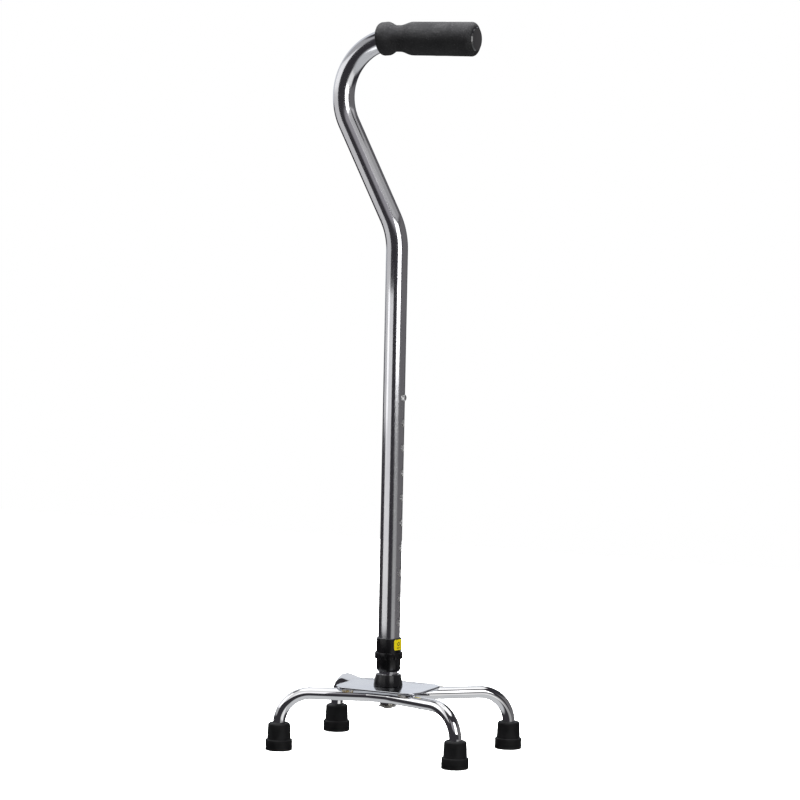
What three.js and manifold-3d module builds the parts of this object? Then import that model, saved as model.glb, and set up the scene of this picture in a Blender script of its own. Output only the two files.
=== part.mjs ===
// Quad walking cane: a swan-neck handle tube that telescopes over a lower tube on a four-legged base.
// Millimetres, +Z up. The origin is on the floor in the middle of the four tips.
// +X is the way the hand grip points, and -Y is the side that faces the viewer.
import * as THREE from "three";
import { mergeVertices } from "three/addons/utils/BufferGeometryUtils.js";
import Module from "manifold-3d";

const wasm = await Module();
wasm.setup();

// Clearance between solids that touch on the real cane.
const GAP = 0.3;

// Feet: half the distance between tip centres, along the grip's direction and across it.
const FOOT_X = 98.6;
const FOOT_Y = 66.2;
// The shaft stands nearer the user's side of the base.
const SHAFT_Y = -17.2;

// Leg tubes
const LEG_RADIUS = 6.35;
const LEG_WALL = 1.5;
const LEG_TUBE_Z = 59.2;
const LEG_BEND_RADIUS = 32;
const LEG_PLAN_RADIUS = 30;
const LEG_BOTTOM_Z = 10.1;
const LEG_SIDES = 14;
// Where each tube turns from its middle run towards its feet, measured from the shaft.
const FRONT_TURN = { x: 12, y: -18 };
const REAR_TURN = { x: 27, y: 20.5 };

// Base plate, centred on the shaft
const PLATE_LENGTH = 94;
const PLATE_WIDTH = 72;
const PLATE_CORNER = 16;
const PLATE_THICKNESS = 2;
const PLATE_BOTTOM_Z = LEG_TUBE_Z + LEG_RADIUS + GAP;
const PLATE_TOP_Z = PLATE_BOTTOM_Z + PLATE_THICKNESS;

// Weld beads in the corner between a leg tube and the plate
const WELD_RADIUS = 1.4;
const WELD_LENGTH = 11;
const WELD_ALONG_LEG = 22;

// Centre bolt stack under the plate
const BOLT_RADIUS = 4;
const BOLT_HOLE_RADIUS = BOLT_RADIUS + GAP;
const BOLT_HEAD_RADIUS = 5.9;
const BOLT_HEAD_HEIGHT = 1.5;
const BOLT_SOCKET_ACROSS_FLATS = 4;
const BOLT_SOCKET_DEPTH = 2.5;
const BUSH_RADIUS = 7.9;
const BUSH_BOTTOM_Z = 48.1;
const WASHER_RADIUS = 9.2;
const WASHER_THICKNESS = 1.3;
const WASHER_BOTTOM_Z = BUSH_BOTTOM_Z - GAP - WASHER_THICKNESS;
const BOLT_HEAD_TOP_Z = WASHER_BOTTOM_Z - GAP;
const BOLT_TOP_Z = 87;

// Lower tube with its boss, plug and guide bushing
const LOWER_RADIUS = 9.525;
const LOWER_BORE = 8.325;
const LOWER_BOTTOM_Z = PLATE_TOP_Z + GAP;
const LOWER_TOP_Z = 385;
const BOSS_TOP_Z = 80;
const BOSS_TOP_RADIUS = 12.9;
const BOSS_SKIRT_RADIUS = 15;
const PLUG_HEIGHT = 22;
const BUSHING_FLANGE = 1.8;
const BUSHING_SKIRT = 6;

// Handle tube. The path is measured from the shaft's axis.
const TUBE_RADIUS = 11.1;
const TUBE_BORE = 9.9;
const TUBE_SIDES = 24;
const HANDLE_BOTTOM_Z = 105;
const KNEE_Z = 528.5;
const KNEE_RADIUS = 71;
const SLANT = THREE.MathUtils.degToRad(27.4);
const NECK_RADIUS = 58.5;
const GRIP_Z = 723.4;
const GRIP_START_X = -23.6;
const GRIP_END_X = 81.8;

// Height holes and the snap button that stands in one of them
const HOLE_COUNT = 10;
const HOLE_PITCH = 25.4;
const LOWEST_HOLE_Z = 133.7;
const BUTTON_Z = LOWEST_HOLE_Z + (HOLE_COUNT - 1) * HOLE_PITCH;
const HOLE_RADIUS = 3.4;
const BUTTON_RADIUS = 3.1;
const BUTTON_FLANGE_RADIUS = 4;
const BUTTON_FLANGE_X = 5.9;
const BUTTON_TIP_X = 13.3;

// Leaf spring under the button
const SPRING_THICKNESS = 0.8;
const SPRING_WIDTH = 7;
const SPRING_KNEE_RADIUS = 20;
const SPRING_FOLD_RADIUS = 2;

// Sleeve and lock collar at the handle tube's lower end
const COLLET_BORE = 9.85;
const COLLET_RADIUS = 11;
const COLLET_BOTTOM_Z = 86;
const COLLET_SLOT = 1.5;
const SLEEVE_RADIUS = 12.75;
const SLEEVE_BOTTOM_Z = 102.9;
const SLEEVE_TOP_Z = 117.2;
const COLLAR_BOTTOM_Z = 83;
const COLLAR_RADIUS = 12.3;
const COLLAR_LUG_RADIUS = 14.2;
const COLLAR_LUG_COUNT = 12;
const COLLAR_LUG_HEIGHT = 6.7;
const COLLAR_TOP_Z = SLEEVE_BOTTOM_Z - GAP;
const LABEL_THICKNESS = 0.25;
const LABEL_HEIGHT = 10.6;
const LABEL_TOP_Z = SLEEVE_TOP_Z - 1.05;
const LABEL_HALF_ANGLE = THREE.MathUtils.degToRad(40);

// Foam grip
const FLARE_RADIUS = 17;
const GRIP_NECK_RADIUS = 13.5;
const GRIP_BODY_RADIUS = 17.3;
const END_DISC_RADIUS = 12.4;
const END_DISC_THICKNESS = 1.5;

// Rubber tips
const TIP_HEIGHT = 28;
const TIP_FLANGE_RADIUS = 13.75;
const TIP_FLANGE_HEIGHT = 11;
const TIP_CONE_FOOT_RADIUS = 12.1;
const TIP_CONE_TOP_RADIUS = 11.35;
const TIP_MOUTH_RADIUS = 8.2;
const TIP_TREAD_INNER_RADIUS = 5;
const TIP_TREAD_OUTER_RADIUS = 8.8;
const TIP_TREAD_SLOPE = 0.6;
const TIP_TREAD_DEPTH = 1.2;
const TIP_FLOOR_Z = 8;
const TIP_DISC_RADIUS = 6;
const TIP_DISC_THICKNESS = 1.5;

// Facets
const ROUND_SIDES = 24;
const TIP_SIDES = 20;
const BEND_STEP = THREE.MathUtils.degToRad(15);

// ---- Materials ----

function material(color, roughness, metalness) {
  return new THREE.MeshStandardMaterial({ color, roughness, metalness });
}

const brightAluminium = () => material(0xc3c4cb, 0.22, 1);
const chromedSteel = () => material(0xd9dbe0, 0.08, 1);
const zincSteel = () => material(0xa9a7a2, 0.35, 1);
const springSteel = () => material(0x8d9096, 0.3, 1);
const blackPlastic = () => material(0x141416, 0.4, 0);
const greyPlastic = () => material(0x6f7175, 0.5, 0);
const blackRubber = () => material(0x161617, 0.75, 0);
const foam = () => material(0x2e2e31, 0.95, 0);
const yellowVinyl = () => material(0xf2dc12, 0.5, 0);

// ---- Shapes ----

// A bent tube's centre line: straight runs between corners, each corner rounded to its own radius.
// It has one station at each end and a few around each bend, and none along a straight run.
class BentPath extends THREE.Curve {
  constructor(corners, bendRadii) {
    super();
    this.stations = [];
    const heading = corners[1].clone().sub(corners[0]).normalize();
    this.stations.push({ point: corners[0], tangent: heading });
    bendRadii.forEach((radius, i) => this.addBend(corners, i + 1, radius));
    const last = corners.length - 1;
    const finish = corners[last].clone().sub(corners[last - 1]).normalize();
    this.stations.push({ point: corners[last], tangent: finish });
  }

  addBend(corners, index, radius) {
    const corner = corners[index];
    const incoming = corner.clone().sub(corners[index - 1]).normalize();
    const outgoing = corners[index + 1].clone().sub(corner).normalize();
    const turn = incoming.angleTo(outgoing);
    const bendSteps = Math.ceil(turn / BEND_STEP);
    const axis = incoming.clone().cross(outgoing).normalize();
    const start = corner.clone().addScaledVector(incoming, -radius * Math.tan(turn / 2));
    const centre = start.clone().addScaledVector(axis.clone().cross(incoming), radius);
    for (let step = 0; step <= bendSteps; step++) {
      const angle = (turn * step) / bendSteps;
      const point = start.clone().sub(centre).applyAxisAngle(axis, angle).add(centre);
      const tangent = incoming.clone().applyAxisAngle(axis, angle);
      this.stations.push({ point, tangent });
    }
  }

  get steps() {
    return this.stations.length - 1;
  }

  getPointAt(u, target = new THREE.Vector3()) {
    return target.copy(this.stations[Math.round(u * this.steps)].point);
  }

  getTangentAt(u, target = new THREE.Vector3()) {
    return target.copy(this.stations[Math.round(u * this.steps)].tangent);
  }
}

function circle(radius, sides) {
  const points = [];
  for (let i = 0; i < sides; i++) {
    const angle = (2 * Math.PI * i) / sides;
    points.push(new THREE.Vector2(radius * Math.cos(angle), radius * Math.sin(angle)));
  }
  return points;
}

function sweep(section, path) {
  return new THREE.ExtrudeGeometry(section, { steps: path.steps, extrudePath: path, bevelEnabled: false });
}

function bentTube(path, outerRadius, innerRadius, sides) {
  const section = new THREE.Shape(circle(outerRadius, sides));
  section.holes.push(new THREE.Path(circle(innerRadius, sides)));
  return sweep(section, path);
}

// Turns an outline of [radius, height] points about +Z. It starts and ends on the axis.
function turned(outline, sides = ROUND_SIDES) {
  const points = outline.map(([radius, height]) => new THREE.Vector2(radius, height));
  return new THREE.LatheGeometry(points, sides).rotateX(Math.PI / 2);
}

// As turned, for an outline that goes round a bore and closes on itself.
function turnedRing(outline, sides = ROUND_SIDES) {
  return turned([...outline, outline[0]], sides);
}

function plainRing(innerRadius, outerRadius, bottomZ, topZ, sides = ROUND_SIDES) {
  return turnedRing(
    [
      [innerRadius, bottomZ],
      [outerRadius, bottomZ],
      [outerRadius, topZ],
      [innerRadius, topZ],
    ],
    sides,
  );
}

// Points of a quarter-ellipse corner, from angle `from` to angle `to` about its centre.
function cornerArc(centreA, centreB, radiusA, radiusB, from, to, steps) {
  const points = [];
  for (let i = 0; i <= steps; i++) {
    const angle = from + ((to - from) * i) / steps;
    points.push([centreA + radiusA * Math.cos(angle), centreB + radiusB * Math.sin(angle)]);
  }
  return points;
}

function roundedRectangle(length, width, corner, cornerSteps) {
  const points = [];
  const quarters = [
    [1, 1, 0],
    [-1, 1, 1],
    [-1, -1, 2],
    [1, -1, 3],
  ];
  for (const [sideX, sideY, quarter] of quarters) {
    const centreX = sideX * (length / 2 - corner);
    const centreY = sideY * (width / 2 - corner);
    const from = (quarter * Math.PI) / 2;
    const arc = cornerArc(centreX, centreY, corner, corner, from, from + Math.PI / 2, cornerSteps);
    arc.forEach(([x, y]) => points.push(new THREE.Vector2(x, y)));
  }
  return new THREE.Shape(points);
}

// ---- Cutting ----

function toSolid(geometry) {
  const bare = geometry.clone();
  bare.deleteAttribute("normal");
  bare.deleteAttribute("uv");
  const merged = mergeVertices(bare, 1e-4);
  const index = Array.from(merged.index.array);
  const triangles = [];
  for (let i = 0; i < index.length; i += 3) {
    const [a, b, c] = index.slice(i, i + 3);
    if (a !== b && b !== c && c !== a) {
      triangles.push(a, b, c);
    }
  }
  const mesh = new wasm.Mesh({
    numProp: 3,
    vertProperties: new Float32Array(merged.attributes.position.array),
    triVerts: new Uint32Array(triangles),
  });
  return new wasm.Manifold(mesh);
}

function toGeometry(solid) {
  const mesh = solid.getMesh();
  const geometry = new THREE.BufferGeometry();
  geometry.setAttribute("position", new THREE.BufferAttribute(new Float32Array(mesh.vertProperties), 3));
  geometry.setIndex(new THREE.BufferAttribute(new Uint32Array(mesh.triVerts), 1));
  geometry.computeVertexNormals();
  return geometry;
}

function cut(geometry, cutters) {
  return toGeometry(cutters.reduce((solid, cutter) => solid.subtract(toSolid(cutter)), toSolid(geometry)));
}

// A drill along +X through one wall of a tube, at height z.
function sideDrill(z) {
  const sides = 16;
  const length = 10;
  const drill = new THREE.CylinderGeometry(HOLE_RADIUS, HOLE_RADIUS, length, sides);
  return drill.rotateZ(Math.PI / 2).translate(TUBE_RADIUS, 0, z);
}

// ---- Sub-parts. Those of the shaft are measured from the shaft's axis. ----

function handlePath(endX) {
  const corners = [
    new THREE.Vector3(0, 0, HANDLE_BOTTOM_Z),
    new THREE.Vector3(0, 0, KNEE_Z),
    new THREE.Vector3(-(GRIP_Z - KNEE_Z) * Math.tan(SLANT), 0, GRIP_Z),
    new THREE.Vector3(endX, 0, GRIP_Z),
  ];
  return new BentPath(corners, [KNEE_RADIUS, NECK_RADIUS]);
}

function handleTube() {
  const endX = GRIP_END_X - GAP;
  const tube = bentTube(handlePath(endX), TUBE_RADIUS, TUBE_BORE, TUBE_SIDES);
  const drills = [];
  for (let i = 0; i < HOLE_COUNT; i++) {
    drills.push(sideDrill(LOWEST_HOLE_Z + i * HOLE_PITCH));
  }
  return cut(tube, drills);
}

// The grip's outline runs along its axis: a rounded flare, a narrower neck and a long straight body.
function gripFoam() {
  const quarter = Math.PI / 2;
  const flareCorner = 5;
  const endCorner = 4.5;
  const flareEndX = -14;
  const neckStartX = -5;
  const neckEndX = -1;
  const bodyX = 14;
  const outline = [[0, GRIP_START_X]];
  const flareCentreX = GRIP_START_X + flareCorner;
  const flareBase = FLARE_RADIUS - flareCorner;
  outline.push(...cornerArc(flareBase, flareCentreX, flareCorner, flareCorner, -quarter, 0, 4));
  const waist = (fromX, toX, fromRadius, toRadius) => {
    const steps = 4;
    for (let i = 0; i < steps; i++) {
      const blend = (1 - Math.cos((Math.PI * i) / steps)) / 2;
      outline.push([fromRadius + (toRadius - fromRadius) * blend, fromX + ((toX - fromX) * i) / steps]);
    }
  };
  waist(flareEndX, neckStartX, FLARE_RADIUS, GRIP_NECK_RADIUS);
  outline.push([GRIP_NECK_RADIUS, neckStartX]);
  waist(neckEndX, bodyX, GRIP_NECK_RADIUS, FLARE_RADIUS);
  outline.push([FLARE_RADIUS, bodyX]);
  const endBase = GRIP_BODY_RADIUS - endCorner;
  const endCentreX = GRIP_END_X - endCorner;
  outline.push(...cornerArc(endBase, endCentreX, endCorner, endCorner, 0, quarter, 4));
  outline.push([0, GRIP_END_X]);
  const body = turned(outline, 28).rotateY(quarter).translate(0, 0, GRIP_Z);
  const bore = sweep(new THREE.Shape(circle(TUBE_RADIUS + GAP, TUBE_SIDES)), handlePath(GRIP_END_X + 10));
  return cut(body, [bore]);
}

function gripEndPlug() {
  const bodyRadius = TUBE_BORE - GAP;
  const plugDepth = 14;
  const edge = 0.6;
  const discX = GRIP_END_X + GAP;
  const outline = [
    [0, discX - plugDepth],
    [bodyRadius - edge, discX - plugDepth],
    [bodyRadius, discX - plugDepth + edge],
    [bodyRadius, discX],
    [END_DISC_RADIUS, discX],
    [END_DISC_RADIUS, discX + END_DISC_THICKNESS - edge],
    [END_DISC_RADIUS - edge, discX + END_DISC_THICKNESS],
    [0, discX + END_DISC_THICKNESS],
  ];
  return turned(outline).rotateY(Math.PI / 2).translate(0, 0, GRIP_Z);
}

function snapButton() {
  const flangeThickness = 0.9;
  const dome = 1;
  const quarter = Math.PI / 2;
  const outline = [
    [0, BUTTON_FLANGE_X],
    [BUTTON_FLANGE_RADIUS, BUTTON_FLANGE_X],
    [BUTTON_FLANGE_RADIUS, BUTTON_FLANGE_X + flangeThickness],
    [BUTTON_RADIUS, BUTTON_FLANGE_X + flangeThickness],
    ...cornerArc(0, BUTTON_TIP_X - dome, BUTTON_RADIUS, dome, 0, quarter, 3),
  ];
  return turned(outline, 16).rotateY(quarter).translate(0, 0, BUTTON_Z);
}

// A V of flat strip. One arm is flat under the button and the other bears on the far wall.
function snapSpring() {
  const armX = BUTTON_FLANGE_X - GAP - SPRING_THICKNESS / 2;
  const farX = -6.7;
  const corners = [
    new THREE.Vector3(armX, 0, BUTTON_Z + 6),
    new THREE.Vector3(armX, 0, BUTTON_Z - 12),
    new THREE.Vector3((armX + farX) / 2, 0, BUTTON_Z - 57),
    new THREE.Vector3(farX, 0, BUTTON_Z - 12),
    new THREE.Vector3(farX, 0, BUTTON_Z + 4),
  ];
  const halfWidth = SPRING_WIDTH / 2;
  const halfThickness = SPRING_THICKNESS / 2;
  const section = new THREE.Shape([
    new THREE.Vector2(-halfWidth, -halfThickness),
    new THREE.Vector2(halfWidth, -halfThickness),
    new THREE.Vector2(halfWidth, halfThickness),
    new THREE.Vector2(-halfWidth, halfThickness),
  ]);
  return sweep(section, new BentPath(corners, [SPRING_KNEE_RADIUS, SPRING_FOLD_RADIUS, SPRING_KNEE_RADIUS]));
}

function lowerTube() {
  const tube = plainRing(LOWER_BORE, LOWER_RADIUS, LOWER_BOTTOM_Z, LOWER_TOP_Z);
  return cut(tube, [sideDrill(BUTTON_Z)]);
}

function guideBushing() {
  const bore = 7;
  const skirtRadius = LOWER_BORE - GAP;
  const flangeBottomZ = LOWER_TOP_Z + GAP;
  return turnedRing([
    [bore, LOWER_TOP_Z - BUSHING_SKIRT],
    [skirtRadius, LOWER_TOP_Z - BUSHING_SKIRT],
    [skirtRadius, flangeBottomZ],
    [LOWER_RADIUS, flangeBottomZ],
    [LOWER_RADIUS, flangeBottomZ + BUSHING_FLANGE],
    [bore, flangeBottomZ + BUSHING_FLANGE],
  ]);
}

// The upper half is a cup on the tube's end, and the lower half is four fingers that the collar squeezes.
function colletSleeve() {
  const edge = 0.6;
  const body = turnedRing([
    [COLLET_BORE, COLLET_BOTTOM_Z],
    [COLLET_RADIUS, COLLET_BOTTOM_Z],
    [COLLET_RADIUS, SLEEVE_BOTTOM_Z],
    [SLEEVE_RADIUS, SLEEVE_BOTTOM_Z],
    [SLEEVE_RADIUS, SLEEVE_TOP_Z - edge],
    [SLEEVE_RADIUS - edge, SLEEVE_TOP_Z],
    [TUBE_RADIUS + GAP, SLEEVE_TOP_Z],
    [TUBE_RADIUS + GAP, HANDLE_BOTTOM_Z - GAP],
    [COLLET_BORE, HANDLE_BOTTOM_Z - GAP],
  ]);
  const slotHeight = 10;
  const slots = [0, 1].map((quarterTurn) => {
    const slot = new THREE.BoxGeometry(COLLET_SLOT, 4 * COLLET_RADIUS, 2 * slotHeight);
    return slot.rotateZ((quarterTurn * Math.PI) / 2).translate(0, 0, COLLET_BOTTOM_Z);
  });
  return cut(body, slots);
}

// A nut with a chamfered foot, a lip round the lower tube and a band of finger lugs at its top.
function lockCollar() {
  const chamfer = 1.2;
  const lipThickness = 2.6;
  const lugBottomZ = COLLAR_TOP_Z - COLLAR_LUG_HEIGHT;
  const bore = COLLET_RADIUS + GAP;
  const edge = 0.6;
  const body = turnedRing(
    [
      [COLLET_BORE, COLLAR_BOTTOM_Z],
      [COLLAR_RADIUS - chamfer, COLLAR_BOTTOM_Z],
      [COLLAR_RADIUS, COLLAR_BOTTOM_Z + 2 * chamfer],
      [COLLAR_RADIUS, lugBottomZ],
      [COLLAR_LUG_RADIUS, lugBottomZ + edge],
      [COLLAR_LUG_RADIUS, COLLAR_TOP_Z - edge],
      [COLLAR_LUG_RADIUS - edge, COLLAR_TOP_Z],
      [bore, COLLAR_TOP_Z],
      [bore, COLLAR_BOTTOM_Z + lipThickness],
      [COLLET_BORE, COLLAR_BOTTOM_Z + lipThickness],
    ],
    2 * COLLAR_LUG_COUNT,
  );
  const notchRadius = 1.5;
  const notches = [];
  for (let i = 0; i < COLLAR_LUG_COUNT; i++) {
    const angle = (2 * Math.PI * (i + 0.5)) / COLLAR_LUG_COUNT;
    const notch = new THREE.CylinderGeometry(notchRadius, notchRadius, 3 * COLLAR_LUG_HEIGHT, 8);
    const reach = COLLAR_LUG_RADIUS + 0.2;
    notch.rotateX(Math.PI / 2).translate(reach * Math.cos(angle), reach * Math.sin(angle), COLLAR_TOP_Z);
    notches.push(notch);
  }
  return cut(body, notches);
}

// A sticker wrapped round the sleeve on its +X side.
function collarLabel() {
  const innerRadius = SLEEVE_RADIUS + GAP;
  const outerRadius = innerRadius + LABEL_THICKNESS;
  const steps = 8;
  const outline = cornerArc(0, 0, innerRadius, innerRadius, LABEL_HALF_ANGLE, -LABEL_HALF_ANGLE, steps);
  outline.push(...cornerArc(0, 0, outerRadius, outerRadius, -LABEL_HALF_ANGLE, LABEL_HALF_ANGLE, steps));
  const shape = new THREE.Shape(outline.map(([x, y]) => new THREE.Vector2(x, y)));
  const sticker = new THREE.ExtrudeGeometry(shape, { depth: LABEL_HEIGHT, bevelEnabled: false });
  return sticker.translate(0, 0, LABEL_TOP_Z - LABEL_HEIGHT);
}

function baseBoss() {
  const bore = LOWER_RADIUS + GAP;
  const edge = 0.6;
  return turnedRing([
    [bore, LOWER_BOTTOM_Z],
    [BOSS_SKIRT_RADIUS - edge, LOWER_BOTTOM_Z],
    [BOSS_SKIRT_RADIUS, LOWER_BOTTOM_Z + edge],
    [BOSS_TOP_RADIUS, BOSS_TOP_Z - edge],
    [BOSS_TOP_RADIUS - edge, BOSS_TOP_Z],
    [bore, BOSS_TOP_Z],
  ]);
}

function basePlate() {
  const shape = roundedRectangle(PLATE_LENGTH, PLATE_WIDTH, PLATE_CORNER, 6);
  shape.holes.push(new THREE.Path(circle(BOLT_HOLE_RADIUS, 16)));
  const plate = new THREE.ExtrudeGeometry(shape, { depth: PLATE_THICKNESS, bevelEnabled: false });
  return plate.translate(0, 0, PLATE_BOTTOM_Z);
}

function threadedPlug() {
  const bottomZ = LOWER_BOTTOM_Z + GAP;
  return plainRing(BOLT_HOLE_RADIUS, LOWER_BORE - GAP, bottomZ, bottomZ + PLUG_HEIGHT, 20);
}

function spacerBush() {
  return plainRing(BOLT_HOLE_RADIUS, BUSH_RADIUS, BUSH_BOTTOM_Z, PLATE_BOTTOM_Z - GAP, 20);
}

function flatWasher() {
  return plainRing(BOLT_HOLE_RADIUS, WASHER_RADIUS, WASHER_BOTTOM_Z, WASHER_BOTTOM_Z + WASHER_THICKNESS);
}

// A low round head with a hexagon socket in its underside.
function centreBolt() {
  const bottomZ = BOLT_HEAD_TOP_Z - BOLT_HEAD_HEIGHT;
  const dome = 1;
  const bolt = turned(
    [
      [0, bottomZ],
      [BOLT_HEAD_RADIUS - dome, bottomZ],
      [BOLT_HEAD_RADIUS, bottomZ + dome],
      [BOLT_HEAD_RADIUS, BOLT_HEAD_TOP_Z],
      [BOLT_RADIUS, BOLT_HEAD_TOP_Z],
      [BOLT_RADIUS, BOLT_TOP_Z],
      [0, BOLT_TOP_Z],
    ],
    16,
  );
  const socketRadius = BOLT_SOCKET_ACROSS_FLATS / Math.sqrt(3);
  const socket = new THREE.CylinderGeometry(socketRadius, socketRadius, 2 * BOLT_SOCKET_DEPTH, 6);
  return cut(bolt, [socket.rotateX(Math.PI / 2).translate(0, 0, bottomZ)]);
}

// One tube is both legs of its side: foot, bend, middle run under the plate, bend, foot.
// footY and turn are measured from the shaft.
function legTube(footY, turn) {
  const corners = [
    new THREE.Vector3(-FOOT_X, footY, LEG_BOTTOM_Z),
    new THREE.Vector3(-FOOT_X, footY, LEG_TUBE_Z),
    new THREE.Vector3(-turn.x, turn.y, LEG_TUBE_Z),
    new THREE.Vector3(turn.x, turn.y, LEG_TUBE_Z),
    new THREE.Vector3(FOOT_X, footY, LEG_TUBE_Z),
    new THREE.Vector3(FOOT_X, footY, LEG_BOTTOM_Z),
  ];
  const radii = [LEG_BEND_RADIUS, LEG_PLAN_RADIUS, LEG_PLAN_RADIUS, LEG_BEND_RADIUS];
  return bentTube(new BentPath(corners, radii), LEG_RADIUS, LEG_RADIUS - LEG_WALL, LEG_SIDES);
}

// A bead beside a leg, on the side that faces away from the shaft. side is -1 or 1 along X.
function weldBead(side, footY, turn) {
  const along = new THREE.Vector2(side * (FOOT_X - turn.x), footY - turn.y).normalize();
  const outward = new THREE.Vector2(-along.y, along.x);
  outward.multiplyScalar(Math.sign(outward.y * turn.y));
  const dropZ = LEG_RADIUS - WELD_RADIUS - 0.05;
  const offset = Math.sqrt((LEG_RADIUS + WELD_RADIUS + GAP) ** 2 - dropZ ** 2);
  const bead = new THREE.CapsuleGeometry(WELD_RADIUS, WELD_LENGTH - 2 * WELD_RADIUS, 3, 8);
  bead.rotateZ(Math.atan2(along.y, along.x) - Math.PI / 2);
  const x = side * turn.x + along.x * WELD_ALONG_LEG + outward.x * offset;
  const y = turn.y + along.y * WELD_ALONG_LEG + outward.y * offset;
  return bead.translate(x, y, LEG_TUBE_Z + dropZ);
}

// A cup with a flanged foot, a groove in its underside and a rounded mouth.
function rubberTip() {
  const bore = LEG_RADIUS + GAP;
  const edge = 0.8;
  const outline = [
    [0, 0],
    [TIP_TREAD_INNER_RADIUS, 0],
    [TIP_TREAD_INNER_RADIUS + TIP_TREAD_SLOPE, TIP_TREAD_DEPTH],
    [TIP_TREAD_OUTER_RADIUS - TIP_TREAD_SLOPE, TIP_TREAD_DEPTH],
    [TIP_TREAD_OUTER_RADIUS, 0],
    [TIP_FLANGE_RADIUS - edge, 0],
    [TIP_FLANGE_RADIUS, edge],
    [TIP_FLANGE_RADIUS, TIP_FLANGE_HEIGHT - edge],
    [TIP_FLANGE_RADIUS - edge, TIP_FLANGE_HEIGHT],
    [TIP_CONE_FOOT_RADIUS, TIP_FLANGE_HEIGHT],
    [TIP_CONE_TOP_RADIUS, TIP_HEIGHT - 2],
    [TIP_CONE_TOP_RADIUS - 1.2, TIP_HEIGHT - 0.4],
    [TIP_MOUTH_RADIUS, TIP_HEIGHT],
    [bore, TIP_HEIGHT - 1],
    [bore, TIP_FLOOR_Z],
    [0, TIP_FLOOR_Z],
  ];
  return turned(outline, TIP_SIDES);
}

function tipDisc() {
  const disc = new THREE.CylinderGeometry(TIP_DISC_RADIUS, TIP_DISC_RADIUS, TIP_DISC_THICKNESS, 20);
  return disc.rotateX(Math.PI / 2).translate(0, 0, TIP_FLOOR_Z + GAP + TIP_DISC_THICKNESS / 2);
}

// ---- Assembly ----

const cane = new THREE.Group();
const shaft = new THREE.Group();
shaft.position.set(0, SHAFT_Y, 0);
cane.add(shaft);

function place(parent, name, geometry, finish) {
  const mesh = new THREE.Mesh(geometry, finish);
  mesh.name = name;
  parent.add(mesh);
  return mesh;
}

place(shaft, "handle_tube", handleTube(), brightAluminium());
place(shaft, "grip_foam", gripFoam(), foam());
place(shaft, "grip_end_plug", gripEndPlug(), blackPlastic());
place(shaft, "collet_sleeve", colletSleeve(), blackPlastic());
place(shaft, "collar_label", collarLabel(), yellowVinyl());
place(shaft, "lock_collar", lockCollar(), blackPlastic());
place(shaft, "snap_button", snapButton(), springSteel());
place(shaft, "snap_spring", snapSpring(), springSteel());
place(shaft, "lower_tube", lowerTube(), brightAluminium());
place(shaft, "guide_bushing", guideBushing(), greyPlastic());
place(shaft, "threaded_plug", threadedPlug(), zincSteel());
place(shaft, "base_boss", baseBoss(), blackPlastic());
place(shaft, "base_plate", basePlate(), chromedSteel());
place(shaft, "spacer_bush", spacerBush(), zincSteel());
place(shaft, "flat_washer", flatWasher(), zincSteel());
place(shaft, "centre_bolt", centreBolt(), zincSteel());

const rows = [
  { row: "front", side: -1, turn: FRONT_TURN },
  { row: "rear", side: 1, turn: REAR_TURN },
];
const columns = [
  { column: "left", side: -1 },
  { column: "right", side: 1 },
];
for (const { row, side: rowSide, turn } of rows) {
  const footY = rowSide * FOOT_Y - SHAFT_Y;
  place(shaft, `${row}_leg_tube`, legTube(footY, turn), chromedSteel());
  for (const { column, side } of columns) {
    place(shaft, `weld_${row}_${column}`, weldBead(side, footY, turn), zincSteel());
    const foot = new THREE.Group();
    foot.position.set(side * FOOT_X, rowSide * FOOT_Y, 0);
    place(foot, `tip_${row}_${column}`, rubberTip(), blackRubber());
    place(foot, `tip_disc_${row}_${column}`, tipDisc(), zincSteel());
    cane.add(foot);
  }
}

export default cane;
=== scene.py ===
import math

import bpy
from mathutils import Matrix, Quaternion, Vector, noise


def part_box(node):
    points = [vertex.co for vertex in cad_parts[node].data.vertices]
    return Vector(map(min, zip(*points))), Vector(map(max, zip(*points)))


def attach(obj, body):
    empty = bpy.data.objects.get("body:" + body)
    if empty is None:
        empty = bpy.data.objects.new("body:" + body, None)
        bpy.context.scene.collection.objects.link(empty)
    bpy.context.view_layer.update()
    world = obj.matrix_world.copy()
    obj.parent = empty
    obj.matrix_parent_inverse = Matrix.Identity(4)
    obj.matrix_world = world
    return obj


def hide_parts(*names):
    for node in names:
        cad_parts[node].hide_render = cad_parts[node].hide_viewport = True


# ---- Frame ----

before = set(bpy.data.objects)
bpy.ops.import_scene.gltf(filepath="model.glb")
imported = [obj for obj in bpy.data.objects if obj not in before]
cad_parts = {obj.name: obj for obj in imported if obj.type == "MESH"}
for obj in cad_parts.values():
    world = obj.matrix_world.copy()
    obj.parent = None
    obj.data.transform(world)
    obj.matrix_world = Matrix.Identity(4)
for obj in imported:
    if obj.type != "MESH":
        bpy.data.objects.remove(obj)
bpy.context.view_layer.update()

MM = 0.001
SHARP = math.radians(32)


def low(node):
    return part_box(node)[0]


def high(node):
    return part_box(node)[1]


def middle(node):
    return (low(node) + high(node)) / 2


def span(node):
    return high(node) - low(node)


def levels(node):
    return low(node).z, high(node).z


# The shaft stands upright on this point of the floor.
SHAFT = Vector((middle("lower_tube").x, middle("lower_tube").y, 0))
GRIP_Z = middle("grip_end_plug").z


def from_shaft(x=0.0, y=0.0, z=0.0):
    return SHAFT + Vector((x, y, z))



# The handle tube's path, as its CAD solid has it.
TUBE_RADIUS = span("handle_tube").y / 2
TUBE_WALL = 1.2 * MM
TUBE_SIDES = 64
KNEE_Z = 528.5 * MM
KNEE_RADIUS = 71 * MM
SLANT = math.radians(27.4)
NECK_RADIUS = 58.5 * MM
SLANT_RUN = (GRIP_Z - KNEE_Z) * math.tan(SLANT)
CLEARANCE = 0.3 * MM

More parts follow.
